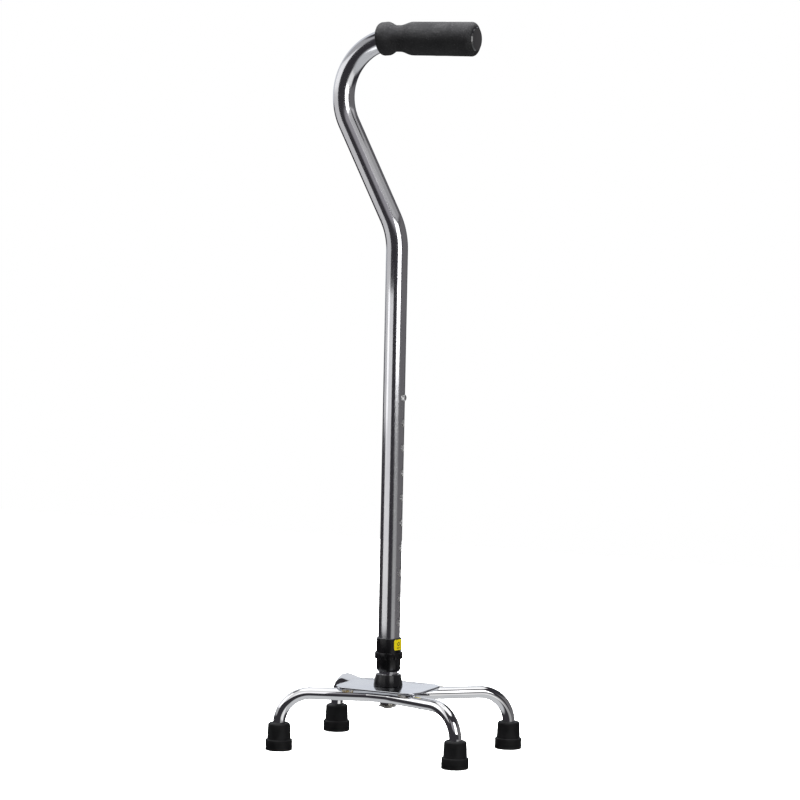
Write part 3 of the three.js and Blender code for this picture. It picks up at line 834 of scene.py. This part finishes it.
def make_lock_collar():
    """A nut with a band of rounded finger lugs round its top and a chamfered foot."""
    bottom, top = levels("lock_collar")
    lug_radius = span("lock_collar").x / 2
    body_radius = 12.3 * MM
    root_radius = body_radius + 0.5 * MM
    bore = COLLET_RADIUS + CLEARANCE
    lip = 2.6 * MM
    lug_bottom = top - 6.7 * MM
    lug_count = 12
    angles = round_angles(12 * lug_count)

    # (radius, height) up the plain body, then (inset, height) up the lugs, then down the inside
    body = [
        (body_radius - 1.5 * MM, bottom),
        (body_radius - 1.2 * MM, bottom + 0.1 * MM),
        (body_radius - 0.15 * MM, bottom + 2.2 * MM),
        (body_radius, bottom + 2.6 * MM),
        (body_radius, lug_bottom - 0.15 * MM),
        (body_radius + 0.1 * MM, lug_bottom),
    ]
    lugs = [
        (0.45 * MM, lug_bottom + 0.05 * MM),
        (0.1 * MM, lug_bottom + 0.25 * MM),
        (0, lug_bottom + 0.6 * MM),
        (0, top - 0.6 * MM),
        (0.1 * MM, top - 0.25 * MM),
        (0.45 * MM, top),
    ]
    inside = [(bore, top), (bore, bottom + lip), (COLLET_BORE, bottom + lip), (COLLET_BORE, bottom)]

    def lug_reach(angle):
        wave = 0.5 + 0.5 * math.cos(lug_count * angle)
        rise = min(1.0, max(0.0, (wave - 0.12) / 0.3))
        return root_radius + (lug_radius - root_radius) * rise * rise * (3 - 2 * rise)

    def round_ring(radius, height):
        return [SHAFT + polar(radius, a, height) for a in angles]

    rings = [round_ring(*point) for point in body]
    for inset, height in lugs:
        rings.append([SHAFT + polar(lug_reach(a) - inset, a, height) for a in angles])
    rings += [round_ring(*point) for point in inside]
    piece = make_piece("lock_collar_ring", *stitch(rings, closed=True), PLASTIC)
    settle(piece, "collar", "black_plastic", "lock_collar")


def wrapped(name, outline, radius, thickness, material):
    """An outline of (distance round, height) points, wrapped on the shaft's +X side as a thin skin."""
    count = len(outline)
    centre = (sum(p[0] for p in outline) / count, sum(p[1] for p in outline) / count)
    edge = 0.4 * thickness
    rings = []
    for lift, inward in ((0, 0), (edge, 0), (thickness, edge)):
        ring = []
        for u, z in outline:
            pull = Vector((centre[0] - u, centre[1] - z)).normalized() * inward
            ring.append(SHAFT + polar(radius + lift, (u + pull.x) / radius, z + pull.y))
        rings.append(ring)
    vertices, faces = stitch(rings)
    top = len(vertices) - count
    for base, outward in ((top, True), (0, False)):
        for i in range(count // 2 - 1):
            quad = [base + i, base + i + 1, base + count - 2 - i, base + count - 1 - i]
            faces.append(quad if outward else list(reversed(quad)))
    return make_piece(name, vertices, faces, material)


def rounded_strip(width, height, corner, steps=8, columns=14):
    """Outline points of a rounded rectangle, matched in pairs across it so that it wraps cleanly."""
    x, y = width / 2, height / 2
    turns = [math.pi / 2 * k / steps for k in range(steps + 1)]
    left = [(corner * (1 - math.cos(a)) - x, corner * (1 - math.sin(a)) - y) for a in turns]
    inner = x - corner
    lower = left + [(-inner + 2 * inner * k / columns, -y) for k in range(1, columns)]
    lower += [(-u, z) for u, z in reversed(left)]
    return lower + [(u, -z) for u, z in reversed(lower)]


def make_label():
    """A plain yellow sticker with a generic turn mark: a ring and a bar, and no words."""
    label_z = middle("collar_label").z
    width, corner, thickness, film = 17.8 * MM, 1.6 * MM, 0.22 * MM, 0.03 * MM
    inner = SLEEVE_RADIUS + 0.02 * MM
    strip = rounded_strip(width, span("collar_label").z, corner)
    sticker = wrapped("label_sticker", [(u, z + label_z) for u, z in strip], inner, thickness, VINYL)
    settle(sticker, "handle", "yellow_vinyl", "collar_label")
    mark_radius = inner + thickness
    mark_u = -3.4 * MM
    bar_z, ring_z = label_z - 3 * MM, label_z + 1 * MM
    bar = [(u + mark_u, z + bar_z) for u, z in rounded_strip(5 * MM, 0.7 * MM, 0.3 * MM)]
    rings = []
    for radius, sunk in ((1.95 * MM, film), (1.9 * MM, 0), (1.05 * MM, 0), (1.0 * MM, film)):
        reach = mark_radius + film - sunk
        ring = []
        for around in round_angles(40):
            angle = (mark_u + radius * math.cos(around)) / mark_radius
            ring.append(SHAFT + polar(reach, angle, ring_z + radius * math.sin(around)))
        rings.append(ring)
    settle(wrapped("label_bar", bar, mark_radius, film, INK), "handle", "yellow_vinyl")
    ring_mark = make_piece("label_ring", *stitch(rings, closed=True), INK)
    settle(ring_mark, "handle", "yellow_vinyl")


# ---- Snap button ----


def make_snap_button():
    """A pressed steel cap with a domed face and a flange that stops it inside the lower tube."""
    start, tip = low("snap_button").x - SHAFT.x, high("snap_button").x - SHAFT.x
    flange, flange_top = span("snap_button").y / 2, start + 0.9 * MM
    radius = 3.1 * MM
    corners = [
        (0, start, 0),
        (flange, start, 0.2 * MM),
        (flange, flange_top, 0.2 * MM),
        (radius, flange_top, 0.15 * MM),
        (radius, tip - 0.9 * MM, 0.7 * MM),
        (radius - 1.2 * MM, tip - 0.15 * MM, 1.2 * MM),
        (0, tip, 0),
    ]
    piece = turned_along_x("snap_button_cap", corners, BUTTON_Z, 48, SPRING)
    settle(piece, "button", "spring_steel", "snap_button")


# ---- Base ----


def make_boss():
    bottom, top = levels("base_boss")
    skirt, mouth = span("base_boss").x / 2, 12.9 * MM
    bore = span("lower_tube").x / 2 + CLEARANCE
    corners = [
        (bore, bottom, 0.2 * MM),
        (skirt, bottom, 0.5 * MM),
        (mouth, top, 0.7 * MM),
        (bore, top, 0.3 * MM),
    ]
    piece = turned("base_boss_cone", corners, PLASTIC, closed=True, segments=120)
    settle(piece, "base", "black_plastic", "base_boss")


BOLT_HOLE = 4.3 * MM


def rounded_rectangle(length, width, corner):
    steps = 14
    points = []
    for quarter, (side_x, side_y) in enumerate(((1, 1), (-1, 1), (-1, -1), (1, -1))):
        centre = Vector((side_x * (length / 2 - corner), side_y * (width / 2 - corner)))
        for k in range(steps + 1):
            angle = math.pi / 2 * (quarter + k / steps)
            points.append(centre + corner * Vector((math.cos(angle), math.sin(angle))))
    return points


def make_plate():
    """Sheet steel with rounded edges and the bolt's hole."""
    bottom, top = levels("base_plate")
    length, width = span("base_plate").x, span("base_plate").y
    corner, edge, edge_steps = 16 * MM, 0.5 * MM, 4
    rings = []
    for height, rim in ((bottom, -1), (top, 1)):
        for k in range(edge_steps + 1):
            share = k / edge_steps if rim > 0 else 1 - k / edge_steps
            angle = math.pi / 2 * share
            inset = edge * (1 - math.cos(angle))
            ring_z = height - rim * edge * (1 - math.sin(angle))
            outline = rounded_rectangle(length - 2 * inset, width - 2 * inset, corner - inset)
            rings.append([from_shaft(p.x, p.y, ring_z) for p in outline])
    hole = [BOLT_HOLE * p.normalized() for p in rounded_rectangle(length, width, corner)]
    for height in (top, bottom):
        rings.append([from_shaft(p.x, p.y, height) for p in hole])
    piece = make_piece("base_plate_sheet", *stitch(rings, closed=True), PLATE)
    settle(piece, "base", "chrome", "base_plate")


def leg_corners(row):
    """The corners of a leg tube's path. Its turn points are measured from the shaft."""
    foot = middle(f"tip_{row}_right")
    turn = LEG_TURNS[row]
    bottom = low(f"{row}_leg_tube").z
    return [
        Vector((-foot.x, foot.y, bottom)),
        Vector((-foot.x, foot.y, LEG_Z)),
        from_shaft(-turn.x, turn.y, LEG_Z),
        from_shaft(turn.x, turn.y, LEG_Z),
        Vector((foot.x, foot.y, LEG_Z)),
        Vector((foot.x, foot.y, bottom)),
    ]


def make_leg_tube(row):
    radii = [LEG_BEND_RADIUS, LEG_PLAN_RADIUS, LEG_PLAN_RADIUS, LEG_BEND_RADIUS]
    stations = with_frames(bent_path(leg_corners(row), radii))
    piece = tube(f"{row}_leg_tube_shell", stations, LEG_RADIUS, LEG_WALL, CHROME, sides=48)
    settle(piece, "base", "chrome", f"{row}_leg_tube")


def make_weld(row, column):
    """A short bead of overlapping weld ripples in the corner between leg tube and plate."""
    node = f"weld_{row}_{column}"
    centre = middle(node)
    turn = LEG_TURNS[row]
    side = 1 if column == "right" else -1
    foot = middle(f"tip_{row}_{column}")
    along = Vector((foot.x - SHAFT.x - side * turn.x, foot.y - SHAFT.y - turn.y, 0)).normalized()
    across = Vector((-along.y, along.x, 0))
    half_length, radius, depth, sway = 5.6 * MM, span(node).z / 2, 0.16, 0.15 * MM
    rows, sides, ripples = 40, 20, 6
    rings = []
    for k in range(rows + 1):
        place = 2 * k / rows - 1
        ripple = math.sin(math.pi * ripples * k / rows)
        reach = radius * math.sqrt(max(0.0, 1 - place**4)) * (1 - depth * abs(ripple))
        ring = []
        for angle in round_angles(sides):
            shift = place * half_length + sway * ripple * math.cos(angle)
            lift = Vector((0, 0, reach * math.sin(angle)))
            ring.append(centre + along * shift + across * reach * math.cos(angle) + lift)
        rings.append(ring)
    piece = make_piece(f"{node}_bead", *stitch_capped(rings), WELD)
    settle(piece, "base", "weld_steel", node)


def turned_ring(name, node, edge):
    """A plain turned ring round the bolt, with the box of its CAD node."""
    bottom, top = levels(node)
    radius = span(node).x / 2
    corners = [
        (BOLT_HOLE, bottom, 0.2 * MM),
        (radius, bottom, edge),
        (radius, top, 0.6 * edge),
        (BOLT_HOLE, top, 0.2 * MM),
    ]
    settle(turned(name, corners, ZINC, closed=True, segments=64), "base", "zinc_steel", node)


def make_bolt():
    """A low round head, domed underneath, with a hexagon socket, on a plain shank."""
    bottom, top = levels("centre_bolt")
    head_top = low("flat_washer").z - CLEARANCE
    head = span("centre_bolt").x / 2
    shank = 4 * MM
    corners = [
        (0, bottom, 0),
        (head - 1.6 * MM, bottom, 0.4 * MM),
        (head, bottom + 0.9 * MM, 0.7 * MM),
        (head, head_top, 0.15 * MM),
        (shank, head_top, 0.2 * MM),
        (shank, top, 0.6 * MM),
        (0, top, 0),
    ]
    bolt = turned("centre_bolt_turned", corners, BLACK_STEEL)
    socket_radius = 4 * MM / math.sqrt(3)
    outline = [(0, -2 * MM), (socket_radius, -2 * MM), (socket_radius, 2.5 * MM), (0, 2.7 * MM)]
    vertices, faces = revolve(outline, 6)
    socket = make_piece("socket", [v + from_shaft(z=bottom) for v in vertices], faces, BLACK_STEEL)
    cut(bolt, socket)
    settle(bolt, "base", "zinc_steel", "centre_bolt")


def make_tip(row, column):
    """A rubber tip: grooved sole, flange, tapered cup and a rolled mouth round the tube."""
    node = f"tip_{row}_{column}"
    foot = Vector((middle(node).x, middle(node).y, 0))
    top = high(node).z
    flange = span(node).x / 2
    bore = LEG_RADIUS + 0.12 * MM
    tread, flange_top, floor = 1.2 * MM, 11 * MM, 8 * MM
    corners = [
        (0, 0, 0),
        (5 * MM, 0, 0.3 * MM),
        (5.6 * MM, tread, 0.2 * MM),
        (8.2 * MM, tread, 0.2 * MM),
        (8.8 * MM, 0, 0.3 * MM),
        (flange, 0, 1.0 * MM),
        (flange, flange_top, 0.9 * MM),
        (12.1 * MM, flange_top, 0.4 * MM),
        (11.35 * MM, top - 1.4 * MM, 1.2 * MM),
        (10.0 * MM, top - 0.2 * MM, 0.8 * MM),
        (8.2 * MM, top, 0.4 * MM),
        (bore, top - 1 * MM, 0.3 * MM),
        (bore, floor, 0.3 * MM),
        (0, floor, 0),
    ]
    piece = turned(f"{node}_rubber", corners, RUBBER, segments=80, place=foot)
    settle(piece, "base", "black_rubber", node)


def paint_hidden_parts():
    """CAD nodes that stay as they are and take a finish."""
    finishes = {"guide_bushing": GREY, "threaded_plug": ZINC, "snap_spring": SPRING}
    for row, column in CORNERS:
        finishes[f"tip_disc_{row}_{column}"] = ZINC
    for node, material in finishes.items():
        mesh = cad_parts[node].data
        mesh.materials.clear()
        mesh.materials.append(material)


# ---- Studio ----

CAMERA_AZIMUTH = math.radians(25.35)
CAMERA_DISTANCE = 3.5
CAMERA_HEIGHT = 0.6412
AIM_HEIGHT = 0.3596
AIM_YAW = math.radians(-0.1)
CAMERA_ROLL = math.radians(1.2)
LENS = 156.2


def at_bearing(azimuth, distance, height):
    """The point at that distance from the shaft. The azimuth is 0 at the front and rises to the right."""
    return from_shaft(distance * math.sin(azimuth), -distance * math.cos(azimuth), height)


def make_camera():
    """The photograph's view: from the front right, a little below the grip."""
    camera = bpy.data.objects.new("camera", bpy.data.cameras.new("camera"))
    camera.data.lens = LENS
    pitch = math.atan2(CAMERA_HEIGHT - AIM_HEIGHT, CAMERA_DISTANCE)
    place = Matrix.Translation(at_bearing(CAMERA_AZIMUTH, CAMERA_DISTANCE, CAMERA_HEIGHT))
    heading = Matrix.Rotation(CAMERA_AZIMUTH + AIM_YAW, 4, "Z")
    tilt = Matrix.Rotation(math.pi / 2 - pitch, 4, "X")
    camera.matrix_world = place @ heading @ tilt @ Matrix.Rotation(CAMERA_ROLL, 4, "Z")
    bpy.context.scene.collection.objects.link(camera)
    bpy.context.scene.camera = camera


def make_floor():
    """A plain pale light table. It is left out of reflected light, where the studio stands for it."""
    finish = Finish("floor", (0.93, 0.93, 0.935, 1), 0.9, specular=0.0)
    finish.set("Emission Color", (1, 1, 1, 1))
    finish.set("Emission Strength", 0.75)
    half = 1.6
    corners = [(-half, -half, 0), (half, -half, 0), (half, half, 0), (-half, half, 0)]
    floor = make_piece("floor", corners, [(0, 1, 2, 3)], finish.material)
    floor.visible_glossy = False
    floor.visible_diffuse = False


# Each patch of the studio: directions from the cane, in degrees. The bearing is 0 towards the
# camera and positive to its right, and the elevation is above the horizon. Later ones cover earlier ones.
# (bearing from, to, softness), (elevation from, to, softness), (red, green, blue)
STUDIO = [
    ("table_top", (-200, 200, 1), (-91, -38, 8), (0.55, 0.56, 0.57)),
    ("back_wall_right", (162, 200, 6), (-3, 91, 2), (0.74, 0.76, 0.80)),
    ("back_wall_left", (-200, -128, 8), (-3, 91, 2), (0.68, 0.70, 0.74)),
    ("left_room", (-128, -66, 6), (3, 40, 3), (0.42, 0.42, 0.43)),
    ("right_table", (16, 72, 8), (-38, -15, 4), (0.82, 0.82, 0.81)),
    ("right_shelf", (20, 62, 7), (-15, -4, 3), (0.36, 0.36, 0.36)),
    ("right_room", (60, 140, 8), (-15, 28, 5), (0.15, 0.145, 0.15)),
    ("front_room", (-32, 14, 7), (12, 34, 4), (0.30, 0.29, 0.31)),
    ("ceiling", (-200, 200, 1), (62, 91, 4), (1.1, 1.1, 1.1)),
]
STUDIO_SHADE = (0.034, 0.032, 0.037, 1)

# White cards and soft boxes that stand upright round the cane and face it:
# (bearing from, to), (height from, to), distance, brightness
PANELS = [
    ("left_card", (-86, -26), (0.09, 0.46), 0.26, 0.72),
    ("left_wall", (-125, -66), (0.25, 1.0), 1.0, 0.55),
    ("key_softbox", (13, 47), (0.28, 1.25), 1.5, 2.4),
    ("upper_card_front", (6, 58), (0.87, 1.18), 0.6, 0.42),
    ("upper_card_side", (58, 110), (0.87, 1.18), 0.6, 0.32),
]


def between(tree, value, first, last, softness):
    """1 where the value lies between first and last, with soft ends."""
    rise = remap(tree, value, first - softness, first + softness, 0, 1)
    fall = remap(tree, value, last - softness, last + softness, 1, 0)
    return math_node(tree, "MULTIPLY", rise, fall)


def make_studio():
    """Soft light from all round, in large plain patches, and a plain white backdrop for the camera."""
    world = bpy.data.worlds.new("studio")
    bpy.context.scene.world = world
    world.use_nodes = True
    tree = world.node_tree
    tree.nodes.clear()
    ray = add_node(tree, "ShaderNodeTexCoord").outputs["Generated"]
    toward = (math.sin(CAMERA_AZIMUTH), -math.cos(CAMERA_AZIMUTH), 0)
    right = (math.cos(CAMERA_AZIMUTH), math.sin(CAMERA_AZIMUTH), 0)
    parts = []
    for axis in (toward, right, (0, 0, 1)):
        dot = add_node(tree, "ShaderNodeVectorMath", {0: ray, 1: axis}, operation="DOT_PRODUCT")
        parts.append(dot.outputs["Value"])
    degrees = math.degrees(1)
    bearing = math_node(tree, "MULTIPLY", math_node(tree, "ARCTAN2", parts[1], parts[0]), degrees)
    elevation = math_node(tree, "MULTIPLY", math_node(tree, "ARCSINE", parts[2]), degrees)
    colour = None
    for _, bearings, elevations, light in STUDIO:
        across, up = between(tree, bearing, *bearings), between(tree, elevation, *elevations)
        mask = math_node(tree, "MULTIPLY", across, up)
        colour = mix_colour(tree, mask, colour or STUDIO_SHADE, (*light, 1))
    studio = add_node(tree, "ShaderNodeBackground", {"Color": colour})
    backdrop = add_node(tree, "ShaderNodeBackground", {"Color": (1, 1, 1, 1)})
    seen = add_node(tree, "ShaderNodeLightPath").outputs["Is Camera Ray"]
    mixed = add_node(tree, "ShaderNodeMixShader", {0: seen, 1: studio.outputs[0], 2: backdrop.outputs[0]})
    add_node(tree, "ShaderNodeOutputWorld", {"Surface": mixed.outputs[0]})


def add_area_light(name, place, target, size, brightness):
    """A rectangular light of an even brightness, which shows in reflections but not to the camera."""
    data = bpy.data.lights.new(name, "AREA")
    data.shape = "RECTANGLE"
    data.size, data.size_y = size
    data.energy = brightness * math.pi * size[0] * size[1]
    light = bpy.data.objects.new(name, data)
    light.location = place
    light.rotation_euler = (target - place).to_track_quat("-Z", "Y").to_euler()
    light.visible_camera = False
    bpy.context.scene.collection.objects.link(light)
    return light


def make_panels():
    for name, bearings, heights, distance, brightness in PANELS:
        half_angle = math.radians(bearings[1] - bearings[0]) / 2
        azimuth = CAMERA_AZIMUTH + math.radians(sum(bearings) / 2)
        height = sum(heights) / 2
        place = at_bearing(azimuth, distance * math.cos(half_angle), height)
        size = (2 * distance * math.sin(half_angle), heights[1] - heights[0])
        add_area_light(name, place, from_shaft(z=height), size, brightness)


def make_overhead_light():
    """A wide panel overhead that lights the floor and the tops of the dark pieces."""
    place, target = from_shaft(0.1, 0.15, 2.3), from_shaft(z=0.2)
    light = add_area_light("overhead", place, target, (1.2, 1.2), brightness=46.0)
    light.visible_glossy = False


# ---- Build ----

make_handle_tube()
make_lower_tube()
make_grip()
make_grip_plug()
make_collet_sleeve()
make_lock_collar()
make_label()
make_snap_button()
make_boss()
make_plate()
for leg_row in ("front", "rear"):
    make_leg_tube(leg_row)
turned_ring("spacer_bush_turned", "spacer_bush", 0.5 * MM)
turned_ring("flat_washer_pressed", "flat_washer", 0.45 * MM)
make_bolt()
for tip_row, tip_column in CORNERS:
    make_weld(tip_row, tip_column)
    make_tip(tip_row, tip_column)
paint_hidden_parts()

make_camera()
make_floor()
make_studio()
make_panels()
make_overhead_light()
bpy.context.scene.view_settings.view_transform = "Standard"
